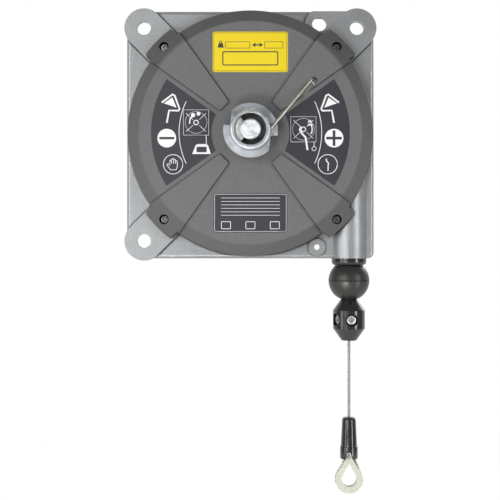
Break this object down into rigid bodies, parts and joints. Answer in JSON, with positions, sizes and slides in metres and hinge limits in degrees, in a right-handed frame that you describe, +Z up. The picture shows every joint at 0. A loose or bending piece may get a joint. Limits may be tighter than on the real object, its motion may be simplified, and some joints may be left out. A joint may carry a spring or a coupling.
{
  "type": "tool balancer",
  "caption": "Square spring balancer with a conical rope drum in a ribbed casting, a round wedge-ribbed cover, an adjusting ratchet ring, and a wire rope with buffer ball, clamp and thimble.",
  "frame": {"origin": "centre of the rear boss face, on the drum's axis", "axes": "+Z up along the hanging rope, +Y out of the rear face, +X to the right seen from the front"},
  "size_m": [0.2522, 0.103, 0.4874],
  "materials": {
    "cast_aluminium": "satin painted casting",
    "cover_plastic": "fine grained dark grey",
    "zinc_plate": "bright zinc plate",
    "bush_bronze": "sintered bronze",
    "drum_alloy": "machined casting",
    "spring_steel": "oiled spring steel",
    "steel_rope": "galvanised strands",
    "rubber": "matte",
    "black_polymer": "semi gloss",
    "nylon": "natural nylon",
    "ferrule_alloy": "crimped"
  },
  "bodies": {
    "housing": {"housing": "cast_aluminium", "front_cover": "cover_plastic", "cover_screw_bottom_left": "zinc_plate", "cover_screw_bottom_right": "zinc_plate", "cover_screw_top_left": "zinc_plate", "cover_screw_top_right": "zinc_plate", "rope_guide": "black_polymer", "axle": "zinc_plate", "rear_thrust_washer": "zinc_plate", "cover_hub_bush": "bush_bronze", "lock_pin": "zinc_plate", "rope_run": "steel_rope"},
    "adjuster": {"adjusting_sleeve": "zinc_plate", "ratchet_ring": "zinc_plate"},
    "drum": {"rope_drum": "drum_alloy", "drum_rear_plate": "drum_alloy", "drum_plate_screw_1": "zinc_plate", "drum_plate_screw_2": "zinc_plate", "drum_plate_screw_3": "zinc_plate", "drum_plate_screw_4": "zinc_plate", "drum_plate_screw_5": "zinc_plate", "drum_plate_screw_6": "zinc_plate", "drum_front_bush": "bush_bronze", "drum_rear_bush": "bush_bronze", "rope_coil": "steel_rope", "power_spring": "spring_steel", "spring_stud": "zinc_plate"},
    "rope_end": {"rope_in_clamp": "steel_rope", "buffer_ball": "rubber", "rope_clamp": "black_polymer", "clamp_screw_front": "zinc_plate", "clamp_screw_side": "zinc_plate", "rope_free": "steel_rope", "rope_in_sleeve": "steel_rope", "end_ferrule": "ferrule_alloy", "end_sleeve": "rubber", "rope_eye": "steel_rope", "thimble": "nylon"},
    "wire_lock": {"wire_lock": "spring_steel"}
  },
  "joints": [
    {"name": "drum_spin", "type": "hinge", "parent": "housing", "child": "drum", "pos_m": [0, -0.042, 0], "axis": [0, 1, 0], "range_deg": [0, 1446], "stiffness_Nm_per_rad": 0.15, "springref_deg": -4469.07},
    {"name": "rope_travel", "type": "slide", "parent": "housing", "child": "rope_end", "axis": [0, 0, -1], "range_m": [0, 2.5]},
    {"name": "adjuster_turn", "type": "hinge", "parent": "housing", "child": "adjuster", "pos_m": [0, -0.09, 0], "axis": [0, 1, 0], "range_deg": [-810, 810]},
    {"name": "wire_lift", "type": "hinge", "parent": "housing", "child": "wire_lock", "pos_m": [0.0595, -0.0716, 0.0509], "axis": [-0.7788, 0, 0.6273], "range_deg": [0, 15], "stiffness_Nm_per_rad": 0.05, "springref_deg": -17.19}
  ],
  "couplings": [
    {"joint": "rope_travel", "follows": "drum_spin", "m_per_rad": 0.099}
  ]
}
